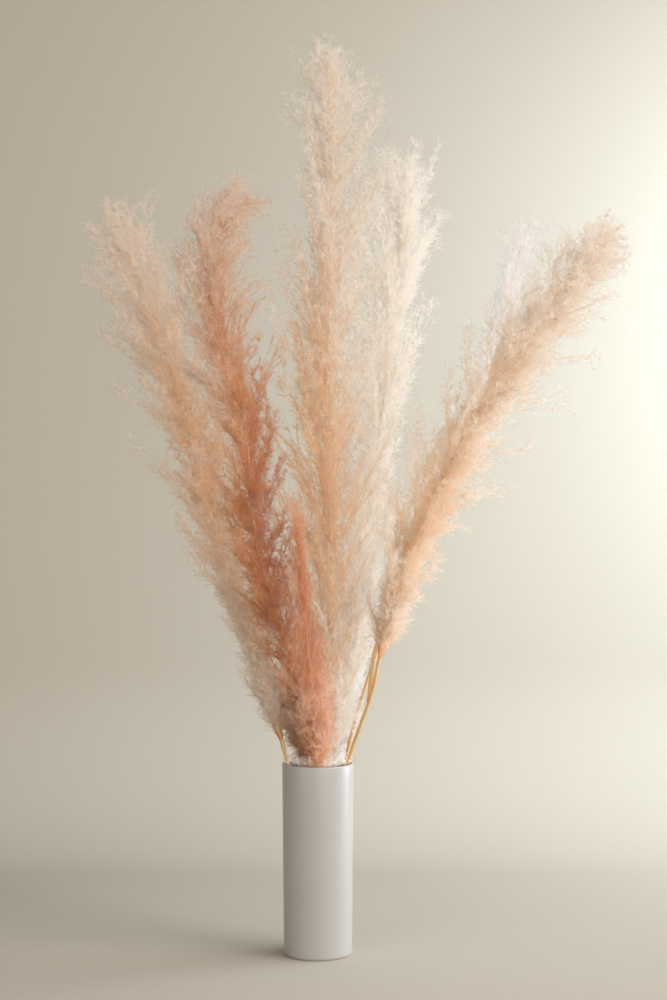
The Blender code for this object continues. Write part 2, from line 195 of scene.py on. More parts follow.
# Curled threads that lie over the vase's rim
RIM_THREADS = 120
RIM_THREAD_SEED = 5
RIM_THREAD_FROND = "centre_cream"
RIM_THREAD_STATIONS = 20
RIM_THREAD_RADIUS = 0.00030
RIM_THREAD_TAPER = 0.6
RIM_THREAD_ARC = 1.1
RIM_DISTANCES = (0.026, 0.0455)
RIM_FARTHEST = 0.0465
RIM_GAP = 0.0004
RIM_RISE = 0.001
RIM_RISE_DRAW = 0.015
RIM_CURLS = (0.0012, 0.0036)
RIM_CURL_FROM = 0.15
RIM_CURL_TURNS = (5.0, 13.0)
RIM_TONE = 0.50
RIM_TONE_RISE = 0.35

# Hair: the stretches of tone over which one colour gives way to the next, and its sheen
WARM_STRETCH = (0.0, 0.36)
PALE_STRETCH = (0.34, 0.72)
TIP_STRETCH = (0.70, 0.98)
SHADE_RANGE = (0.86, 1.10)
HAIR_COLOURS = ("Rachis", "Warm", "Pale", "Tip")
HAIR_ROUGHNESS = 0.75
HAIR_SPECULAR = 0.25
HAIR_THROUGH_SHARE = 0.55
THROUGH_WARM_SHARE = 0.25
SHADOW_THINNING = 0.94

# Cane, glaze and ground. A cloud is a noise's scale and detail, a bump its strength and height.
CANE_DARK = (0.40, 0.22, 0.085, 1.0)
CANE_LIGHT = (0.66, 0.44, 0.22, 1.0)
CANE_STREAKS = (26.0, 90.0, 1.0)
CANE_STREAK_DETAIL = 4.0
CANE_STREAK_STRETCH = (0.32, 0.68)
CANE_ROUGHNESS = (0.42, 0.60)
CANE_BUMP = (0.35, 0.0002)
# Painted shade: the white glaze's colours are set grey, darker than its real white, for the vase's shade.
SHADED_GLAZE_DARK = (0.345, 0.337, 0.322, 1.0)
SHADED_GLAZE_LIGHT = (0.359, 0.351, 0.336, 1.0)
GLAZE_ROUGHNESS = (0.285, 0.300)
GLAZE_CLOUD = (16.0, 3.0)
GLAZE_RIPPLE = 55.0
GLAZE_BUMP = (0.02, 0.001)
NOISE_STRETCH = (0.3, 0.7)
BARE_CLAY = (0.62, 0.56, 0.48, 1.0)
BARE_HEIGHTS = (0.0016, 0.0004)
GROUND_COLOUR = (0.45, 0.415, 0.355, 1.0)
GROUND_ROUGHNESS = 0.9
GROUND_SPECULAR = 0.1

# The ground's section in Y and Z: the floor from the front, the sweep up, and the backdrop's top.
# Behind it the floor goes on a hair lower.
GROUND_HALF_WIDTH = 6.0
GROUND_FRONT = (-5.0, 0.0)
SWEEP_CENTRE = (0.52, 0.30)
SWEEP_RADIUS = 0.30
SWEEP_STEPS = 20
BACKDROP_TOP = (0.82, 4.0)
BEHIND_FROM_Y = 0.4
BEHIND_TO_Y = 5.0
BEHIND_Z = -0.0005

# Each lamp: name, place, target, size, power, colour, and the spread of its beam in degrees
LAMPS = (
    ("key", (2.2, -1.1, 1.9), (0.0, 0.0, 0.65), 1.8, 65.0, (0.99, 0.985, 0.99), 180.0),
    ("fill", (0.9, -2.6, 0.6), (0.0, 0.0, 0.36), 2.0, 50.0, (1.0, 0.955, 0.89), 180.0),
    ("low", (-1.5, -1.9, 0.45), (0.0, 0.0, 0.42), 1.6, 18.0, (1.0, 0.91, 0.79), 180.0),
    ("edge", (1.3, 0.35, 0.42), (0.02, 0.0, 0.14), 0.9, 3.8, (0.83, 0.91, 1.0), 60.0),
    ("side", (1.60, -0.10, 1.3), (1.0, 0.82, 0.80), 0.8, 13.0, (0.75, 0.89, 1.0), 80.0),
)
WORLD_COLOUR = (1.0, 0.95, 0.87, 1.0)
WORLD_STRENGTH = 0.28
CAMERA_PLACE = (0.0199, -2.44, 0.5824)
CAMERA_LENS = 68.4
CAMERA_SENSOR = 36.0

# Each frond's values are these.
# route: points that its stem and its rachis run through. plume_from: the height at which its plume
# begins. reach: the plume's reach at REACH_SHARES of its length. lean: how much less it reaches to
# the left, and more to the right, at its foot and at its tip.
# inner, outer: its numbers of inner and outer sprays. branchlets: how many both layers have.
# spray: a spray's length. opening: the power by which it opens outwards. tip: the share of its
# length that a spray at the plume's tip lacks. thin: the share of its hair that it lacks there.
# droop: how much sprays and branchlets sag. skirt: how far the skirt sprays sag. foot: how thickly
# the skirt and falling sprays are covered. falls: the number of falling sprays and their reach.
# low_tone: the tone at the rachis. fade, fade_power: how much paler the tip is, and the power of
# the height by which that comes. foot_tone, foot_share: the tone at the foot, and the share of the
# plume over which it gives way. painted_left_shade: painted shade, as if lit from the right: how
# much warmer and darker the left is painted, and paler the right; below zero the left is painted
# paler.
# tones: its colours, named in HAIR_COLOURS. strays: sprays placed on their own, each by its start
# as a share of the plume, its angle round the rachis, its length and its reach.
FRONDS = (
    dict(
        name="left_airy", slot="plume_beige", seed=11,
        route=((0.0255, -0.0145, STEM_FOOT_Z), (-0.0382, -0.004, 0.243), (-0.069, 0.010, 0.350),
               (-0.095, 0.026, 0.440), (-0.126, 0.040, 0.530), (-0.148, 0.052, 0.616),
               (-0.166, 0.060, 0.680), (-0.199, 0.070, 0.765), (-0.223, 0.078, 0.837),
               (-0.256, 0.086, 0.921)),
        plume_from=0.272, reach=(0.010, 0.018, 0.044, 0.078, 0.080, 0.078, 0.076), lean=(0.0, 0.12),
        inner=220, outer=330, branchlets=9800, spray=0.100, opening=0.75, tip=0.2, thin=0.1,
        droop=1.0, skirt=0.006, foot=0.6, falls=(0, 0.0),
        low_tone=0.04, fade=1.10, fade_power=3.0, foot_tone=0.75, foot_share=0.50, painted_left_shade=-0.05,
        tones=((0.67, 0.32, 0.09), (0.81, 0.53, 0.29), (0.855, 0.76, 0.655), (0.885, 0.87, 0.85)),
        strays=((0.72, 0.1, 0.10, 0.075), (0.62, -0.1, 0.11, 0.090), (0.46, 0.1, 0.12, 0.092)),
    ),
    dict(
        name="left_dusty", slot="plume_dusty_pink", seed=23,
        route=((0.023, 0.0055, STEM_FOOT_Z), (-0.0095, 0.021, 0.243), (-0.026, 0.014, 0.324),
               (-0.041, -0.004, 0.403), (-0.074, -0.026, 0.511), (-0.085, -0.036, 0.595),
               (-0.092, -0.044, 0.683), (-0.115, -0.050, 0.751), (-0.130, -0.055, 0.817),
               (-0.131, -0.060, 0.890), (-0.119, -0.062, 0.942), (-0.102, -0.062, 0.961)),
        plume_from=0.239, reach=(0.024, 0.048, 0.062, 0.072, 0.080, 0.076, 0.062), lean=(0.14, 0.0),
        inner=230, outer=340, branchlets=12200, spray=0.092, opening=0.75, tip=0.55, thin=0.0,
        droop=1.6, skirt=0.01, foot=2.4, falls=(30, 0.012),
        low_tone=-0.60, fade=1.26, fade_power=1.0, foot_tone=0.28, foot_share=0.38, painted_left_shade=-0.36,
        tones=((0.38, 0.07, 0.01), (0.66, 0.285, 0.075), (0.805, 0.685, 0.565), (0.84, 0.805, 0.765)),
        strays=(),
    ),
    dict(
        name="centre_tall", slot="plume_ivory_peach", seed=37,
        route=((0.010, 0.029, STEM_FOOT_Z), (0.0105, 0.0145, 0.243), (0.019, 0.010, 0.325),
               (0.018, 0.004, 0.428), (0.017, 0.000, 0.531), (0.013, -0.006, 0.652),
               (0.011, -0.010, 0.736), (0.016, -0.014, 0.851), (0.019, -0.018, 0.980),
               (0.017, -0.020, 1.070), (0.012, -0.020, 1.134)),
        plume_from=0.240, reach=(0.020, 0.050, 0.088, 0.106, 0.102, 0.078, 0.068), lean=(0.05, 0.20),
        inner=280, outer=400, branchlets=12300, spray=0.130, opening=0.8, tip=0.6, thin=-0.1,
        droop=0.8, skirt=0.008, foot=2.0, falls=(16, 0.01),
        low_tone=-0.46, fade=1.28, fade_power=1.0, foot_tone=0.50, foot_share=0.36, painted_left_shade=0.32,
        tones=((0.61, 0.26, 0.065), (0.77, 0.52, 0.27), (0.835, 0.805, 0.76), (0.86, 0.86, 0.85)),
        strays=((0.74, 3.0, 0.14, 0.086), (0.72, 3.3, 0.12, 0.068), (0.58, 0.1, 0.13, 0.088),
                (0.66, -0.1, 0.10, 0.066)),
    ),
    dict(
        name="centre_cream", slot="plume_cream", seed=41,
        route=((-0.015, 0.029, STEM_FOOT_Z), (0.024, 0.029, 0.243), (0.044, 0.040, 0.347),
               (0.052, 0.048, 0.425), (0.063, 0.060, 0.530), (0.075, 0.070, 0.635),
               (0.090, 0.080, 0.742), (0.102, 0.090, 0.849), (0.110, 0.097, 0.935),
               (0.114, 0.100, 0.990)),
        plume_from=0.238, reach=(0.010, 0.016, 0.056, 0.086, 0.088, 0.080, 0.062), lean=(-0.30, -0.30),
        inner=210, outer=310, branchlets=11300, spray=0.125, opening=0.8, tip=0.4, thin=0.1,
        droop=0.8, skirt=0.006, foot=1.4, falls=(10, 0.004),
        low_tone=0.14, fade=0.36, fade_power=1.0, foot_tone=0.54, foot_share=0.3, painted_left_shade=0.0,
        tones=((0.80, 0.56, 0.32), (0.885, 0.775, 0.635), (0.91, 0.89, 0.86), (0.925, 0.92, 0.91)),
        strays=((0.78, 2.6, 0.15, 0.046), (0.88, 1.9, 0.15, 0.030), (0.90, 3.6, 0.15, 0.045),
                (0.80, 3.1, 0.14, 0.058)),
    ),
    dict(
        name="right_peach", slot="plume_peach", seed=53,
        route=((-0.031, 0.0035, STEM_FOOT_Z), (0.0375, -0.006, 0.243), (0.069, -0.019, 0.336),
               (0.082, -0.024, 0.396), (0.113, -0.035, 0.500), (0.151, -0.042, 0.595),
               (0.182, -0.048, 0.657), (0.224, -0.055, 0.728), (0.277, -0.060, 0.798),
               (0.318, -0.064, 0.854), (0.350, -0.066, 0.902)),
        plume_from=0.380, reach=(0.010, 0.030, 0.058, 0.072, 0.074, 0.066, 0.052), lean=(-0.30, -0.36),
        inner=230, outer=330, branchlets=10200, spray=0.100, opening=0.85, tip=0.5, thin=0.0,
        droop=2.2, skirt=0.004, foot=0.9, falls=(0, 0.0),
        low_tone=-0.08, fade=0.60, fade_power=1.0, foot_tone=0.36, foot_share=0.2, painted_left_shade=-0.06,
        tones=((0.73, 0.37, 0.11), (0.815, 0.595, 0.375), (0.84, 0.79, 0.73), (0.855, 0.855, 0.845)),
        strays=((0.30, 3.1, 0.10, 0.070), (0.42, 3.3, 0.10, 0.078), (0.55, 3.0, 0.10, 0.078),
                (0.68, 3.2, 0.09, 0.070)),
    ),
    dict(
        name="right_pale", slot="plume_pale", seed=67,
        route=((-0.0165, -0.0095, STEM_FOOT_Z), (0.035, 0.017, 0.243), (0.057, 0.030, 0.325),
               (0.087, 0.048, 0.412), (0.134, 0.075, 0.543), (0.162, 0.090, 0.609),
               (0.189, 0.100, 0.676), (0.217, 0.110, 0.737), (0.244, 0.122, 0.818),
               (0.262, 0.132, 0.880), (0.275, 0.140, 0.930)),
        plume_from=0.412, reach=(0.008, 0.014, 0.022, 0.036, 0.048, 0.054, 0.046), lean=(0.30, 0.36),
        inner=120, outer=190, branchlets=2700, spray=0.090, opening=0.85, tip=0.35, thin=0.2,
        droop=1.0, skirt=0.01, foot=0.8, falls=(0, 0.0),
        low_tone=0.10, fade=0.34, fade_power=1.0, foot_tone=0.20, foot_share=0.2, painted_left_shade=0.0,
        tones=((0.83, 0.72, 0.66), (0.86, 0.78, 0.735), (0.87, 0.86, 0.86), (0.88, 0.88, 0.885)),
        strays=(),
    ),
    dict(
        name="short_salmon", slot="plume_salmon", seed=79,
        route=((0.0185, -0.0195, STEM_FOOT_Z), (0.001, -0.030, 0.243), (-0.005, -0.042, 0.330),
               (-0.012, -0.052, 0.394), (-0.018, -0.062, 0.472), (-0.024, -0.070, 0.545)),
        plume_from=0.237, reach=(0.024, 0.038, 0.044, 0.036, 0.022, 0.013, 0.008), lean=(0.0, 0.0),
        inner=100, outer=150, branchlets=3000, spray=0.075, opening=0.75, tip=0.3, thin=0.85,
        droop=0.8, skirt=0.008, foot=2.2, falls=(18, 0.006),
        low_tone=-0.26, fade=0.4, fade_power=1.0, foot_tone=0.32, foot_share=0.3, painted_left_shade=0.0,
        tones=((0.51, 0.15, 0.045), (0.70, 0.355, 0.165), (0.81, 0.66, 0.55), (0.86, 0.80, 0.745)),
        strays=(),
    ),
)


class Route:
    """A smooth Catmull-Rom curve through a frond's points, read by the length along it."""

    STEPS_PER_SPAN = 24
    HALF_STEP = 0.004

    def __init__(self, points):
        given = np.array(points)
        knots = np.vstack([2.0 * given[0] - given[1], given, 2.0 * given[-1] - given[-2]])
        share = np.linspace(0.0, 1.0, self.STEPS_PER_SPAN, endpoint=False)[:, None]
        before, start, end, after = (knots[i:len(knots) - 3 + i, None, :] for i in range(4))
        spans = 0.5 * (
            2.0 * start
            + (end - before) * share
            + (2.0 * before - 5.0 * start + 4.0 * end - after) * share**2
            + (3.0 * start - before - 3.0 * end + after) * share**3
        )
        self.points = np.vstack([spans.reshape(-1, 3), given[-1:]])
        steps = np.linalg.norm(np.diff(self.points, axis=0), axis=1)
        self.lengths = np.concatenate([[0.0], np.cumsum(steps)])
        self.length = self.lengths[-1]
        self.end_direction = unit(self.points[-1] - self.points[-4])

    def at(self, along):
        """Points at these lengths from the foot; past the end the curve runs straight on."""
        inside = [np.interp(along, self.lengths, self.points[:, axis]) for axis in range(3)]
        past = np.maximum(0.0, along - self.length)
        return np.stack(inside, axis=-1) + past[..., None] * self.end_direction

    def across(self, along):
        """Two directions square to the curve and to each other: to the left and to the front."""
        run = unit(self.at(along + self.HALF_STEP) - self.at(along - self.HALF_STEP))
        left = unit(np.cross(run, (0.0, 1.0, 0.0)))
        return left, np.cross(run, left)

    def length_to_height(self, height):
        """The length from the foot at which the curve first reaches this height."""
        return float(self.lengths[np.argmax(self.points[:, 2] >= height)])


def unit(vectors):
    """Each vector divided by its length."""
    return vectors / np.linalg.norm(vectors, axis=-1, keepdims=True)


def square_to(directions):
    """Two directions square to each given one: its cross product with a slanting line, and theirs."""
    first = unit(np.cross(directions, SLANTING_LINE))
    return first, np.cross(directions, first)


def joined(parts):
    """Several surfaces made one. A surface is its points, its triangles and its points' places on
    the colour map; each one's triangles are counted on from the points before."""
    counts = np.cumsum([0] + [len(points) for points, _, _ in parts[:-1]])
    points = np.vstack([points for points, _, _ in parts])
    triangles = np.vstack([faces + count for (_, faces, _), count in zip(parts, counts)])
    return points, triangles, np.vstack([places for _, _, places in parts])


def repeated(points, pattern, places):
    """The surface of many like shapes, whose points all take the same pattern of triangles."""
    count, each, _ = points.shape
    triangles = (pattern[None] + np.arange(count)[:, None, None] * each).reshape(-1, 3)
    return points.reshape(-1, 3), triangles, places.reshape(-1, 2)


def tubes(paths, radii, sides, tones, flat=1.0):
    """Closed tubes: round each path point stands a ring of radius r, at r cos t along one direction
    square to the path and r sin t times flat along the other. Both ends are closed by a fan on
    their path point. tones gives each ring's place across the colour map."""
    count, stations, _ = paths.shape
    first, second = square_to(unit(np.gradient(paths, axis=1)))
    second = second * flat
    turn = np.arange(sides) * FULL_TURN / sides
    ring = (first[:, :, None, :] * np.cos(turn)[None, None, :, None]
            + second[:, :, None, :] * np.sin(turn)[None, None, :, None])
    around = paths[:, :, None, :] + ring * radii[:, :, None, None]
    points = np.concatenate([around.reshape(count, -1, 3), paths[:, :1], paths[:, -1:]], axis=1)
    step = np.arange(stations - 1)[:, None] * sides
    here = np.arange(sides)[None, :]
    beside = (here + 1) % sides
    lower = np.stack([step + here, step + beside, step + sides + here], axis=-1)
    upper = np.stack([step + beside, step + sides + beside, step + sides + here], axis=-1)
    last = (stations - 1) * sides
    foot = np.full(sides, stations * sides)
    foot_fan = np.stack([here[0], foot, beside[0]], axis=-1)
    top_fan = np.stack([last + here[0], last + beside[0], foot + 1], axis=-1)
    pattern = np.vstack([lower.reshape(-1, 3), upper.reshape(-1, 3), foot_fan, top_fan])
    ring_tone = np.repeat(tones[:, :, None], sides, axis=2)
    around_share = np.broadcast_to(here / (sides - 1.0), (count, stations, sides))
    shade = TUBE_SHADE + TUBE_SHADE_RANGE * around_share
    places = np.stack([ring_tone, shade], axis=-1).reshape(count, -1, 2)
    ends = np.stack([tones[:, [0, -1]], np.full((count, 2), 0.5)], axis=-1)
    return repeated(points, pattern, np.concatenate([places, ends], axis=1))


def rings_of_three(middles, directions, radius):
    """Round each middle three points at radius r, at r cos t and r sin t square to its direction."""
    first, second = square_to(directions)
    turn = np.arange(3) * FULL_TURN / 3.0
    return middles[:, None] + radius * (
        first[:, None] * np.cos(turn)[None, :, None] + second[:, None] * np.sin(turn)[None, :, None]
    )


def leaving(run, lifts, calm, draw):
    """Directions that leave each run: cos f along it and sin f outwards at a drawn angle round it. The
    lift f is drawn between two limits in degrees, then taken times calm. Gives the lifts too."""
    first, second = square_to(run)
    angle = draw.uniform(0.0, FULL_TURN, len(run))
    outward = first * np.cos(angle)[:, None] + second * np.sin(angle)[:, None]
    lift = np.radians(draw.uniform(*lifts, len(run))) * calm
    return unit(run * np.cos(lift)[:, None] + outward * np.sin(lift)[:, None]), lift


def make_piece(name, surface, material, map_name="OFBake"):
    """A mesh object of this surface that rides on the root, with its material."""
    points, triangles, places = surface
    mesh = bpy.data.meshes.new(name)
    mesh.vertices.add(len(points))
    mesh.vertices.foreach_set("co", points.astype(np.float32).ravel())
    mesh.loops.add(triangles.size)
    mesh.loops.foreach_set("vertex_index", triangles.astype(np.int32).ravel())
    mesh.polygons.add(len(triangles))
    mesh.polygons.foreach_set("loop_start", np.arange(0, triangles.size, 3, dtype=np.int32))
    mesh.polygons.foreach_set("use_smooth", np.ones(len(triangles), dtype=bool))
    mesh.update(calc_edges=True)
    mapped = mesh.uv_layers.new(name=map_name)
    mapped.data.foreach_set("uv", places[triangles.ravel()].astype(np.float32).ravel())
    mesh.materials.append(material)
    piece = bpy.data.objects.new(name, mesh)
    bpy.context.scene.collection.objects.link(piece)
    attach(piece, "root")
    return piece


class Sprays:
    """The sprays of one layer of a plume. A spray of length l is at share s of it beside the rachis's
    point start + l*s: outwards by root + (reach - root) * s to the power opening, and down by
    droop * s squared, with two waves that grow with s, one outwards and one beside. Its angle runs
    round the rachis from the left over the front. At the plume's foot there are short skirt sprays
    too, and falling ones, whose length runs down the stem."""

    def __init__(self, frond, route, count, spreads, draw, bunch=1, strays=()):
        self.route = route
        self.frond = frond
        foot = route.length_to_height(frond["plume_from"])
        plume_length = route.length - foot
        bunches = count // bunch
        number = np.repeat(np.arange(bunches), bunch)
        count = len(number)
        share = ((number + 0.5) / bunches) ** SPRAY_CROWDING * LAST_SPRAY_SHARE
        share += draw.uniform(0.0, SHIFT_IN_BUNCH, count) * (bunch - 1) / 2.0
        closing = np.clip((share - TIP_FROM_SHARE) / (1.0 - TIP_FROM_SHARE), 0.0, 1.0)
        turns = draw.uniform(-BUNCH_TURN, BUNCH_TURN, bunches)
        self.angle = number * GOLDEN_ANGLE + np.repeat(turns, bunch)
        self.angle += draw.normal(0.0, TURN_IN_BUNCH, count) * (bunch > 1)
        self.length = frond["spray"] * (1.0 - frond["tip"] * closing)
        lengths = draw.uniform(*BUNCH_LENGTHS, bunches)
        self.length *= np.repeat(lengths, bunch) * draw.uniform(*LENGTHS_IN_BUNCH, count)
        tip_share = share + self.length / plume_length
        crown = np.where(share > CROWN_FROM_SHARE, draw.uniform(*CROWN_SPREADS, count), 1.0)
        spreads = np.repeat(draw.uniform(*spreads, bunches), bunch)
        self.spread = spreads * draw.uniform(*SPREADS_IN_BUNCH, count) * crown
        lean = np.interp(share, (0.0, 1.0), frond["lean"]) * np.cos(self.angle)
        lean = 1.0 - lean - FLATNESS * np.sin(self.angle) ** 2
        self.reach = np.interp(tip_share, REACH_SHARES, frond["reach"]) * self.spread * lean
        self.start = foot + plume_length * share
        self.weight = np.ones(count)
        self.droop = np.full(count, SPRAY_SAG * frond["droop"])
        skirt = np.arange(SKIRT_SPRAYS)
        self.add(foot + SKIRT_HEIGHT * draw.uniform(0.0, 1.0, len(skirt)) ** 2,
                 skirt * GOLDEN_ANGLE, draw.uniform(*SKIRT_LENGTHS, len(skirt)),
                 frond["reach"][1] * draw.uniform(*SKIRT_REACHES, len(skirt)), SKIRT_TONE,
                 frond["foot"], draw.uniform(*SKIRT_SAGS, len(skirt)) * frond["skirt"])
        falls, fall_reach = frond["falls"]
        self.add(foot + draw.uniform(*FALL_HEIGHTS, falls), np.arange(falls) * GOLDEN_ANGLE,
                 -draw.uniform(*FALL_LENGTHS, falls), fall_reach * draw.uniform(*FALL_REACHES, falls),
                 SKIRT_TONE, frond["foot"], 0.0)
        if strays:
            starts, angles, lengths, reaches = np.repeat(np.array(strays), STRAY_BUNCH, axis=0).T
            shift = draw.uniform(-1.0, 1.0, (4, len(starts)))
            self.add(foot + plume_length * (starts + STRAY_SHIFT * shift[0]),
                     angles + STRAY_TURN * shift[1],
                     lengths * (1.0 + STRAY_LENGTH_SHARE * shift[2]),
                     reaches * (1.0 - STRAY_REACH_SHARE + STRAY_REACH_SHARE * shift[3]),
                     1.0, STRAY_WEIGHT, SPRAY_SAG * frond["droop"])
        self.count = len(self.start)
        self.share = (self.start - foot) / plume_length
        self.fade = frond["fade"] * self.share ** frond["fade_power"]
        self.droop = self.droop * draw.uniform(*SAG_SHARES, self.count)
        self.wave = draw.uniform(*WAVE_REACHES, (2, self.count))
        self.turns = draw.uniform(*WAVE_TURNS, (2, self.count))
        self.phase = draw.uniform(0.0, 1.0, (2, self.count))

    def add(self, start, angle, length, reach, spread, weight, droop):
        """More sprays: where they start, their angles, lengths and reaches, and three values that are
        one number for all of them or a row of numbers."""
        more = np.ones(len(start))
        for name, values in (("start", start), ("angle", angle), ("length", length), ("reach", reach),
                             ("spread", spread), ("weight", weight), ("droop", droop)):
            setattr(self, name, np.append(getattr(self, name), values * more))

    def at(self, which, s):
        """Points at share s of the sprays that which names."""
        along = self.start[which] + self.length[which] * s
        left, front = self.route.across(along)
        cos = np.cos(self.angle[which])[..., None]
        sin = np.sin(self.angle[which])[..., None]
        outward = left * cos + front * sin
        beside = front * cos - left * sin
        root = np.minimum(ROOT_REACH, self.reach[which])
        opening = np.maximum(s, 0.0) ** self.frond["opening"]
        turned = self.turns[:, which] * s + self.phase[:, which]
        waves = self.wave[:, which] * s * np.sin(FULL_TURN * turned)
        out = root + (self.reach[which] - root) * opening + waves[0]
        place = self.route.at(along) + outward * out[..., None] + beside * waves[1][..., None]
        place[..., 2] -= self.droop[which] * s**2
        return place

    def tone(self, which, s):
        """How far out a hair is, as a share of the plume's reach: less towards the front and the back, by
        the square of the sine of its angle, and, as painted shade, less towards the left, by the cosine."""
        opening = s ** self.frond["opening"]
        inside = self.spread[which] * opening * (1.0 - FRONT_WARMTH * np.sin(self.angle[which]) ** 2)
        # Painted shade: the left side is painted warmer and darker, and the right paler, as if lit from
        # the right.
        return inside - self.frond["painted_left_shade"] * opening * np.cos(self.angle[which])


def threads(sprays):
    """The fine threads that carry the hairs, one thinning tube on each spray."""
    which = np.repeat(np.arange(sprays.count)[:, None], SPRAY_STATIONS, axis=1)
    s = np.broadcast_to(np.linspace(0.0, 1.0, SPRAY_STATIONS), which.shape)
    radii = THREAD_RADIUS + (THREAD_TIP_RADIUS - THREAD_RADIUS) * s
    tones = sprays.frond["low_tone"] + THREAD_TONE + THREAD_TONE_RISE * sprays.tone(which, s)
    tones = np.clip(tones + THREAD_FADE * sprays.fade[which], *THREAD_TONE_LIMITS)
    return tubes(sprays.at(which, s), radii, THREAD_SIDES, tones)


class Branchlets:
    """Thin branchlets on the sprays. One leaves its spray at a low angle, straight, and at BEND_SHARE
    of its length bends once, by its own curl and a little sag. Near the plume's foot it is calm: it
    and its hairs lie closer. Its tone begins as one of the foot's own, and over foot_share of the
    plume blends into one that rises outwards and with the height."""

    def __init__(self, sprays, count, draw):
        frond = sprays.frond
        self.count = count
        weight = np.abs(sprays.length) * sprays.weight * (1.0 - frond["thin"] * sprays.share)
        which = draw.choice(sprays.count, count, p=weight / weight.sum())
        s = draw.beta(*BRANCHLET_PLACES, count)
        self.root = sprays.at(which, s)
        run = unit(sprays.at(which, s + RUN_STEP) - sprays.at(which, s - RUN_STEP))
        from_foot = np.clip(sprays.share[which] / FOOT_SHARE, 0.0, 1.0)
        self.calm = FOOT_LIFT + (1.0 - FOOT_LIFT) * from_foot
        self.leave, lift = leaving(run, BRANCHLET_LIFTS, self.calm, draw)
        curl = draw.normal(0.0, BRANCHLET_CURL, (count, 3))
        curl[:, 2] -= BRANCHLET_SAG * frond["droop"]
        self.arrive = unit(self.leave + curl)
        length = draw.uniform(*BRANCHLET_LENGTHS, count) * (1.0 - BRANCHLET_TAPER * s)
        near = length * BEND_SHARE
        self.middle = self.root + self.leave * near[:, None]
        self.tip = self.middle + self.arrive * (length - near)[:, None]
        noise = draw.normal(0.0, TONE_NOISE, count)
        inside = sprays.tone(which, s)
        foot_tone = frond["foot_tone"] + FOOT_TONE_RISE * inside
        tone = frond["low_tone"] + TONE_RISE * inside + sprays.fade[which]
        blend = np.clip(sprays.share[which] / frond["foot_share"], 0.0, 1.0)
        self.low = foot_tone + (tone - foot_tone) * blend + noise
        self.high = self.low + BRANCHLET_TONE + BRANCHLET_LIFT_TONE * np.sin(lift)
        shade = draw.normal(BRANCHLET_SHADE, BRANCHLET_SHADE_NOISE, count)
        self.shade = np.clip(shade, *BRANCHLET_SHADE_LIMITS)

    def surface(self):
        """Each a root point, a ring of three round its middle and a tip point: six triangles."""
        ring = rings_of_three(self.middle, unit(self.tip - self.root), BRANCHLET_RADIUS)
        points = np.concatenate([self.root[:, None], ring, self.tip[:, None]], axis=1)
        pattern = np.array([(0, 2, 1), (0, 3, 2), (0, 1, 3), (4, 1, 2), (4, 2, 3), (4, 3, 1)])
        half = 0.5 * (self.low + self.high)
        tones = np.stack([self.low, half, half, half, self.high], axis=-1)
        shades = self.shade[:, None] + np.array(BRANCHLET_SHADE_STEPS)
        return repeated(points, pattern, np.stack([np.clip(tones, *TONE_LIMITS), shades], axis=-1))


def silk(branchlets, count, draw):
    """The silky hairs along the branchlets: straight needles, each a ring of three at its root and a
    tip point, closed with four triangles. A root lies at share t of its branchlet, and the hair
    leaves it forwards at an angle drawn between two limits."""
    of = draw.integers(0, branchlets.count, count)
    t = draw.uniform(SILK_FROM_SHARE, 1.0, count)
    to_bend = np.minimum(t / BEND_SHARE, 1.0)[:, None]
    past_bend = np.maximum((t - BEND_SHARE) / (1.0 - BEND_SHARE), 0.0)[:, None]
    root = (branchlets.root[of] + (branchlets.middle[of] - branchlets.root[of]) * to_bend
            + (branchlets.tip[of] - branchlets.middle[of]) * past_bend)
    run = np.where(t[:, None] < BEND_SHARE, branchlets.leave[of], branchlets.arrive[of])
    aim, lift = leaving(run, SILK_LIFTS, branchlets.calm[of], draw)
    length = draw.uniform(*SILK_LENGTHS, count) * (1.0 - SILK_TAPER * t)
    tip = root + aim * length[:, None]
    points = np.concatenate([rings_of_three(root, aim, SILK_RADIUS), tip[:, None]], axis=1)
    pattern = np.array([(0, 2, 1), (3, 0, 1), (3, 1, 2), (3, 2, 0)])
    low = branchlets.low[of] + (branchlets.high[of] - branchlets.low[of]) * t
    high = low + SILK_TONE + SILK_LIFT_TONE * np.sin(lift) + draw.normal(0.0, SILK_TONE_NOISE, count)
    tones = np.clip(np.stack([low, low, low, high], axis=-1), *TONE_LIMITS)
    shade = branchlets.shade[of] + draw.normal(0.0, SILK_SHADE_NOISE, count)
    shades = np.clip(shade, *SILK_SHADE_LIMITS)[:, None] + np.array(SILK_SHADE_STEPS)
    return repeated(points, pattern, np.stack([tones, shades], axis=-1))


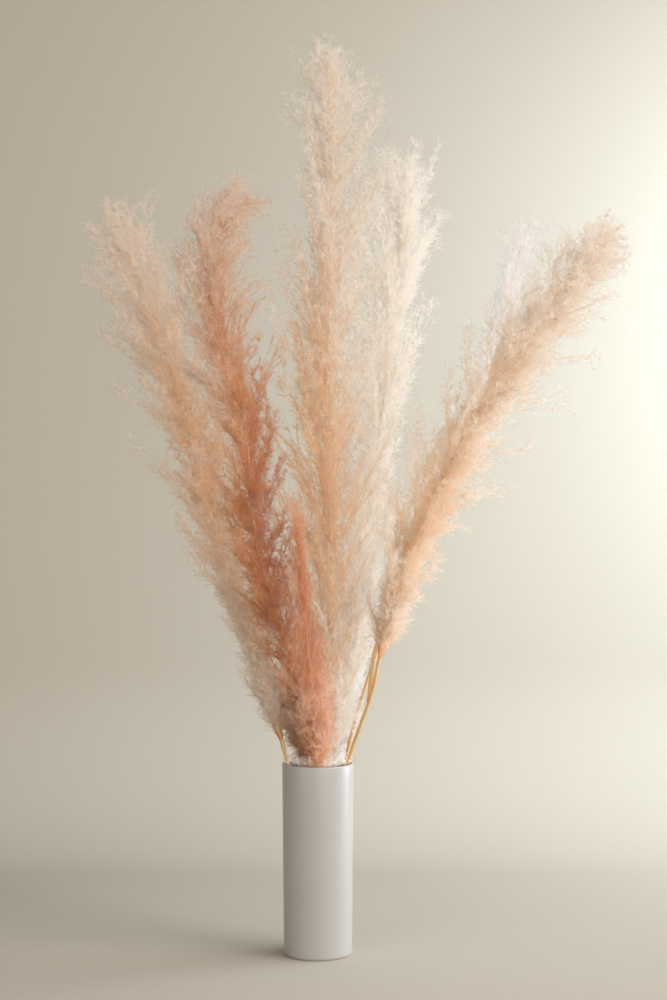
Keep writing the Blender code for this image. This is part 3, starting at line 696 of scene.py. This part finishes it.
def revolved(profile, steps):
    """A profile of (distance from the axis, height) turned round Z: at angle t a profile point is at
    distance * cos t, distance * sin t. Its first and last points lie on the axis and are single."""
    turn = np.arange(steps) * FULL_TURN / steps
    rings = profile[1:-1]
    around = np.stack([
        rings[:, :1] * np.cos(turn)[None], rings[:, :1] * np.sin(turn)[None],
        np.repeat(rings[:, 1:], steps, axis=1),
    ], axis=-1).reshape(-1, 3)
    ends = np.array([(0.0, 0.0, profile[0, 1]), (0.0, 0.0, profile[-1, 1])])
    here = np.arange(steps)[None, :]
    beside = (here + 1) % steps
    row = np.arange(len(rings) - 1)[:, None] * steps
    one = np.stack([row + here, row + steps + here, row + beside], axis=-1).reshape(-1, 3)
    other = np.stack([row + beside, row + steps + here, row + steps + beside], axis=-1).reshape(-1, 3)
    start = len(around)
    last = (len(rings) - 1) * steps
    first_fan = np.stack([np.full(steps, start), here[0], beside[0]], axis=-1)
    last_fan = np.stack([last + beside[0], last + here[0], np.full(steps, start + 1)], axis=-1)
    length = np.concatenate([[0.0], np.cumsum(np.linalg.norm(np.diff(profile, axis=0), axis=1))])
    length = length / length[-1]
    places = np.stack([
        np.broadcast_to(here / steps, (len(rings), steps)),
        np.repeat(length[1:-1, None], steps, axis=1),
    ], axis=-1).reshape(-1, 2)
    places = np.vstack([places, ((0.5, 0.0), (0.5, 1.0))])
    return np.vstack([around, ends]), np.vstack([one, other, first_fan, last_fan]), places


def arc(centre, radius, start, end, steps):
    """Points of an arc: centre plus radius times the cosine and sine of the angle."""
    angle = np.linspace(start, end, steps + 1)
    return np.stack([centre[0] + radius * np.cos(angle), centre[1] + radius * np.sin(angle)], axis=-1)


def straight(start, end, steps):
    """Evenly spaced points between two points, without the points themselves."""
    share = np.linspace(0.0, 1.0, steps + 1)[1:-1, None]
    return np.array(start) + (np.array(end) - np.array(start)) * share


def vase_profile():
    """The wall's section: floor, inner wall, rounded lip, outer wall, foot edge and underside, which
    is hollowed a little inside the foot ring."""
    lip = VASE_WALL / 2.0
    inner_foot = VASE_FOOT_RADIUS - VASE_WALL
    corner = arc((inner_foot - VASE_INNER_CORNER, VASE_FLOOR + VASE_INNER_CORNER),
                 VASE_INNER_CORNER, -QUARTER_TURN, 0.0, CORNER_STEPS)
    rim = arc((VASE_TOP_RADIUS - lip, VASE_HEIGHT - lip), lip, np.pi, 0.0, LIP_STEPS)
    edge = arc((VASE_FOOT_RADIUS - VASE_FOOT_EDGE, VASE_FOOT_EDGE),
               VASE_FOOT_EDGE, 0.0, -QUARTER_TURN, CORNER_STEPS)
    hollow = (VASE_FOOT_RADIUS - HOLLOW_FROM_SIDE, HOLLOW_HEIGHT)
    return np.vstack([
        [(0.0, VASE_FLOOR)], straight((0.0, VASE_FLOOR), corner[0], FLOOR_STEPS), corner,
        straight(corner[-1], rim[0], WALL_STEPS), rim, straight(rim[-1], edge[0], WALL_STEPS), edge,
        [(VASE_FOOT_RADIUS - FOOT_RING_WIDTH, 0.0), hollow],
        straight(hollow, (0.0, HOLLOW_HEIGHT), HOLLOW_STEPS), [(0.0, HOLLOW_HEIGHT)],
    ])


def stem_surface(route, start, end, first_radius, last_radius):
    """A dry stem from start to end along its route: a round tube whose radius runs from the first to
    the last one and swells by a narrow bell at each joint."""
    count = max(STEM_FEWEST_RINGS, int((end - start) / STEM_SPACING))
    along = np.linspace(start, end, count)
    share = (along - start) / (end - start)
    from_joint = np.abs((along - JOINT_SHIFT) % JOINT_SPACING - 0.5 * JOINT_SPACING)
    swell = JOINT_SWELL * np.exp(-(from_joint / JOINT_BELL) ** 2) * first_radius / STEM_RADIUS
    radii = first_radius + (last_radius - first_radius) * share + swell
    return tubes(route.at(along)[None], radii[None], STEM_SIDES, along[None])


def sheath_surface(route):
    """A thin strip of dry leaf that leaves the stem at a low angle: a flat tube whose half width
    narrows with the share along it, lifted off the stem as the sine of that share."""
    start = route.length_to_height(SHEATH_FROM_Z)
    share = np.linspace(0.0, 1.0, SHEATH_STATIONS)
    along = start + SHEATH_LENGTH * share
    left, _ = route.across(along)
    lift = SHEATH_ROOT_LIFT + SHEATH_LIFT * np.sin(QUARTER_TURN * share)
    path = route.at(along) + left * lift[:, None]
    widths = SHEATH_HALF_WIDTH * np.interp(share, SHEATH_WIDTH_SHARES, SHEATH_WIDTHS)
    return tubes(path[None], widths[None], SHEATH_SIDES, along[None], SHEATH_FLATNESS)


def rim_threads(draw):
    """Curled threads that lie round the vase's mouth, each along a stretch of the rim: its distance
    from the axis runs between two draws, its height rises by half a sine, and a circle of a few
    millimetres, turned about once or twice along it, makes its curls."""
    each = (RIM_THREADS, 1)
    share = np.linspace(0.0, 1.0, RIM_THREAD_STATIONS)[None, :]
    turn = draw.uniform(0.0, FULL_TURN, each)
    turn = turn + draw.uniform(-RIM_THREAD_ARC, RIM_THREAD_ARC, each) * share
    start, end = draw.uniform(*RIM_DISTANCES, (2, *each))
    rise = RIM_RISE + RIM_RISE_DRAW * draw.uniform(0.0, 1.0, each) ** 2
    widening = np.sin(np.pi * (RIM_CURL_FROM + (1.0 - RIM_CURL_FROM) * share))
    curl = draw.uniform(*RIM_CURLS, each) * widening
    wave = draw.uniform(0.0, FULL_TURN, each) + share * draw.uniform(*RIM_CURL_TURNS, each)
    out = np.minimum(start + (end - start) * share + curl * np.cos(wave), RIM_FARTHEST)
    z = VASE_HEIGHT + RIM_GAP + rise * np.sin(np.pi * share) + curl * (1.0 + np.sin(wave))
    paths = np.stack([out * np.cos(turn), out * np.sin(turn), z], axis=-1)
    radii = RIM_THREAD_RADIUS * (1.0 - RIM_THREAD_TAPER * share) * np.ones(each)
    tones = np.broadcast_to(RIM_TONE + RIM_TONE_RISE * share, radii.shape)
    return tubes(paths, radii, THREAD_SIDES, tones)


def feed(tree, node, sources):
    """Links each of a node's inputs to its source if that is a socket, and else sets its value."""
    for label, source in sources.items():
        if isinstance(source, bpy.types.NodeSocket):
            tree.links.new(source, node.inputs[label])
        else:
            node.inputs[label].default_value = source


def new_node(tree, kind, sources, **settings):
    """A shader node of this kind with its settings, its inputs fed."""
    node = tree.nodes.new("ShaderNode" + kind)
    for label, value in settings.items():
        setattr(node, label, value)
    feed(tree, node, sources)
    return node


def mix_colours(tree, factor, one, other, blend="MIX"):
    """Two colours mixed."""
    mix = new_node(tree, "Mix", {}, data_type="RGBA", blend_type=blend)
    feed(tree, mix, {0: factor, 6: one, 7: other})
    return mix.outputs[2]


def mix_shaders(tree, factor, one, other):
    """Two shaders mixed."""
    return new_node(tree, "MixShader", {"Fac": factor, 1: one, 2: other}).outputs[0]


def ranged(tree, value, stretch, target=(0.0, 1.0), smooth=True):
    """A value carried from one stretch of numbers to another."""
    return new_node(
        tree, "MapRange",
        {"Value": value, "From Min": stretch[0], "From Max": stretch[1], "To Min": target[0],
         "To Max": target[1]},
        interpolation_type="SMOOTHSTEP" if smooth else "LINEAR",
    ).outputs["Result"]


def noise(tree, place, scale, detail=2.0):
    """A soft noise at a place."""
    return new_node(tree, "TexNoise", {"Vector": place, "Scale": scale, "Detail": detail}).outputs[0]


def bump(tree, height, strength, distance):
    """The normal of a surface that rises with height."""
    sources = {"Height": height, "Strength": strength, "Distance": distance}
    return new_node(tree, "Bump", sources).outputs[0]


def tone_group():
    """Hair colour by the place on the map: across it from the rachis's tone through the warm and the
    pale one to the tips' tone, and up it from a little darker to a little lighter."""
    group = bpy.data.node_groups.new("hair_tones", "ShaderNodeTree")
    group.interface.new_socket("Place", in_out="INPUT", socket_type="NodeSocketVector")
    for label in HAIR_COLOURS:
        group.interface.new_socket(label, in_out="INPUT", socket_type="NodeSocketColor")
    group.interface.new_socket("Colour", in_out="OUTPUT", socket_type="NodeSocketColor")
    given = group.nodes.new("NodeGroupInput").outputs
    split = new_node(group, "SeparateXYZ", {0: given["Place"]}).outputs
    colour = given["Rachis"]
    for label, stretch in zip(HAIR_COLOURS[1:], (WARM_STRETCH, PALE_STRETCH, TIP_STRETCH)):
        colour = mix_colours(group, ranged(group, split["X"], stretch), colour, given[label])
    shade = ranged(group, split["Y"], (0.0, 1.0), SHADE_RANGE, smooth=False)
    grey = new_node(group, "CombineColor", {0: shade, 1: shade, 2: shade}).outputs[0]
    out = group.nodes.new("NodeGroupOutput")
    feed(group, out, {"Colour": mix_colours(group, 1.0, colour, grey, "MULTIPLY")})
    return group


def new_material(name):
    """A material with its tree, its Principled shader and its output."""
    material = bpy.data.materials.new(name)
    material.use_nodes = True
    tree = material.node_tree
    return material, tree, tree.nodes["Principled BSDF"], tree.nodes["Material Output"]


def hair_material(name, tones, group):
    """Silky hair: a soft matte fibre that lets part of the light through, and most of it in shadows,
    where real hairs are finer than these."""
    material, tree, shader, out = new_material(name)
    place = new_node(tree, "UVMap", {}, uv_map="OFBake").outputs["UV"]
    colour = new_node(tree, "Group", {}, node_tree=group)
    feed(tree, colour, {"Place": place})
    feed(tree, colour, {label: (*tone, 1.0) for label, tone in zip(HAIR_COLOURS, tones)})
    feed(tree, shader, {
        "Base Color": colour.outputs["Colour"], "Roughness": HAIR_ROUGHNESS,
        "Specular IOR Level": HAIR_SPECULAR,
    })
    _, warm, pale, _ = np.array(tones)
    mean = THROUGH_WARM_SHARE * warm + (1.0 - THROUGH_WARM_SHARE) * pale
    through = new_node(tree, "BsdfTranslucent", {"Color": (*mean, 1.0)}).outputs[0]
    fibre = mix_shaders(tree, HAIR_THROUGH_SHARE, shader.outputs[0], through)
    shadow = new_node(tree, "LightPath", {}).outputs["Is Shadow Ray"]
    thin = new_node(tree, "Math", {0: shadow, 1: SHADOW_THINNING}, operation="MULTIPLY").outputs[0]
    clear = new_node(tree, "BsdfTransparent", {}).outputs[0]
    feed(tree, out, {"Surface": mix_shaders(tree, thin, fibre, clear)})
    return material


def stem_material():
    """Dry cane: tan with fine streaks along the stem, and a slight gloss."""
    material, tree, shader, _ = new_material("dry_cane")
    place = new_node(tree, "UVMap", {}, uv_map="along_stem").outputs["UV"]
    scaled = new_node(tree, "Mapping", {"Scale": CANE_STREAKS, "Vector": place}).outputs[0]
    streak = noise(tree, scaled, 1.0, CANE_STREAK_DETAIL)
    tan = mix_colours(tree, ranged(tree, streak, CANE_STREAK_STRETCH), CANE_DARK, CANE_LIGHT)
    feed(tree, shader, {
        "Base Color": tan,
        "Roughness": ranged(tree, streak, NOISE_STRETCH, CANE_ROUGHNESS),
        "Normal": bump(tree, streak, *CANE_BUMP),
    })
    return material


def glaze_material():
    """White glaze, painted grey as painted shade, darker than its real white, for the shade that the vase
    stands in: nearly even, with a faint cloudiness and a very slight unevenness of the gloss; the ring
    that the vase stands on is bare clay."""
    material, tree, shader, _ = new_material("white_glaze")
    place = new_node(tree, "TexCoord", {}).outputs["Object"]
    cloud = noise(tree, place, *GLAZE_CLOUD)
    # Painted shade: this grey stands in for shade on the white glaze.
    white = mix_colours(tree, ranged(tree, cloud, NOISE_STRETCH), SHADED_GLAZE_DARK, SHADED_GLAZE_LIGHT)
    height = new_node(tree, "SeparateXYZ", {0: place}).outputs["Z"]
    bare = ranged(tree, height, BARE_HEIGHTS)
    gloss = ranged(tree, cloud, NOISE_STRETCH, GLAZE_ROUGHNESS)
    feed(tree, shader, {
        "Base Color": mix_colours(tree, bare, white, BARE_CLAY),
        "Roughness": new_node(tree, "Math", {0: gloss, 1: bare}, operation="MAXIMUM").outputs[0],
        "Normal": bump(tree, noise(tree, place, GLAZE_RIPPLE), *GLAZE_BUMP),
    })
    return material


def stage_material():
    """Plain pale matte ground, clear from behind, so that the backdrop hides nothing from there."""
    material, tree, shader, out = new_material("pale_ground")
    feed(tree, shader, {
        "Base Color": GROUND_COLOUR, "Roughness": GROUND_ROUGHNESS, "Specular IOR Level": GROUND_SPECULAR,
    })
    side = new_node(tree, "NewGeometry", {}).outputs["Backfacing"]
    clear = new_node(tree, "BsdfTransparent", {}).outputs[0]
    feed(tree, out, {"Surface": mix_shaders(tree, side, shader.outputs[0], clear)})
    return material


def set_stage():
    """A pale floor that sweeps up into a backdrop: a line, a quarter circle and a line, drawn wide.
    A hair lower, the floor also runs on behind the backdrop."""
    bend = arc(SWEEP_CENTRE, SWEEP_RADIUS, -QUARTER_TURN, 0.0, SWEEP_STEPS)
    line = np.vstack([[GROUND_FRONT], bend, [BACKDROP_TOP]])
    points = [(x, y, z) for y, z in line for x in (-GROUND_HALF_WIDTH, GROUND_HALF_WIDTH)]
    faces = [(row, row + 1, row + 3, row + 2) for row in range(0, len(points) - 2, 2)]
    faces.append(tuple(range(len(points), len(points) + 4)))
    points += [
        (-GROUND_HALF_WIDTH, BEHIND_FROM_Y, BEHIND_Z), (GROUND_HALF_WIDTH, BEHIND_FROM_Y, BEHIND_Z),
        (GROUND_HALF_WIDTH, BEHIND_TO_Y, BEHIND_Z), (-GROUND_HALF_WIDTH, BEHIND_TO_Y, BEHIND_Z),
    ]
    mesh = bpy.data.meshes.new("ground")
    mesh.from_pydata(points, [], faces)
    mesh.shade_smooth()
    mesh.materials.append(stage_material())
    ground = bpy.data.objects.new("ground", mesh)
    bpy.context.scene.collection.objects.link(ground)


def set_lights():
    """The soft square lamps of LAMPS, each turned to its target, and an even warm surrounding."""
    for name, place, target, size, power, colour, spread in LAMPS:
        data = bpy.data.lights.new(name, "AREA")
        data.size = size
        data.energy = power
        data.spread = np.radians(spread)
        data.color = colour
        lamp = bpy.data.objects.new(name, data)
        lamp.location = place
        lamp.rotation_euler = (Vector(target) - Vector(place)).to_track_quat("-Z", "Y").to_euler()
        bpy.context.scene.collection.objects.link(lamp)
    world = bpy.data.worlds.new("studio")
    world.use_nodes = True
    background = world.node_tree.nodes["Background"]
    background.inputs["Color"].default_value = WORLD_COLOUR
    background.inputs["Strength"].default_value = WORLD_STRENGTH
    bpy.context.scene.world = world


def set_camera():
    """Level, straight on, at the height of the plumes' middle."""
    data = bpy.data.cameras.new("camera")
    data.lens = CAMERA_LENS
    data.sensor_width = CAMERA_SENSOR
    camera = bpy.data.objects.new("camera", data)
    camera.location = CAMERA_PLACE
    camera.rotation_euler = (QUARTER_TURN, 0.0, 0.0)
    bpy.context.scene.collection.objects.link(camera)
    bpy.context.scene.camera = camera


def dress_frond(frond, cane, group):
    """A frond's stem, its rachis, and its plume in an inner and an outer piece."""
    route = Route(frond["route"])
    name = frond["name"]
    cad_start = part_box("plume_" + name)[0].z
    stem_end = route.length_to_height(cad_start) + STEM_IN_PLUME
    parts = [stem_surface(route, 0.0, stem_end, STEM_RADIUS, STEM_TOP_RADIUS)]
    if name == SHEATH_FROND:
        parts.append(sheath_surface(route))
    stem = make_piece("stem_" + name + "_fine", joined(parts), cane, "along_stem")
    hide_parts("stem_" + name)
    top = stem_surface(route, stem_end - RACHIS_IN_STEM, route.length, STEM_TOP_RADIUS, RACHIS_TIP_RADIUS)
    rachis = make_piece("rachis_" + name, top, cane, "along_stem")
    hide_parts("plume_" + name)
    draw = np.random.default_rng(frond["seed"])
    hair = hair_material("hair_" + name, frond["tones"], group)
    inner = Sprays(frond, route, frond["inner"], INNER_SPREADS, draw)
    outer = Sprays(frond, route, frond["outer"], OUTER_SPREADS, draw, BUNCH, frond["strays"])
    for layer, sprays in (("inner", inner), ("outer", outer)):
        count = frond["branchlets"] // 2
        branchlets = Branchlets(sprays, count, draw)
        surface = joined([
            threads(sprays), branchlets.surface(), silk(branchlets, int(count * SILK_A_BRANCHLET), draw),
        ])
        piece = make_piece("plume_" + name + "_" + layer, surface, hair)
        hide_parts("plume_" + name)


def dress_vase(group):
    """The glazed vase and the hair threads that lie over its rim."""
    vase = make_piece("vase_fine", revolved(vase_profile(), VASE_STEPS), glaze_material(),
                      "round_vase")
    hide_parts("vase")
    tones = next(frond["tones"] for frond in FRONDS if frond["name"] == RIM_THREAD_FROND)
    make_piece("rim_threads", rim_threads(np.random.default_rng(RIM_THREAD_SEED)),
               hair_material("hair_rim_threads", tones, group))


def main():
    """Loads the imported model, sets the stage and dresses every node."""
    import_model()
    bpy.context.scene.view_settings.view_transform = "Standard"
    set_camera()
    set_stage()
    set_lights()
    group = tone_group()
    cane = stem_material()
    for frond in FRONDS:
        dress_frond(frond, cane, group)
    dress_vase(group)


main()
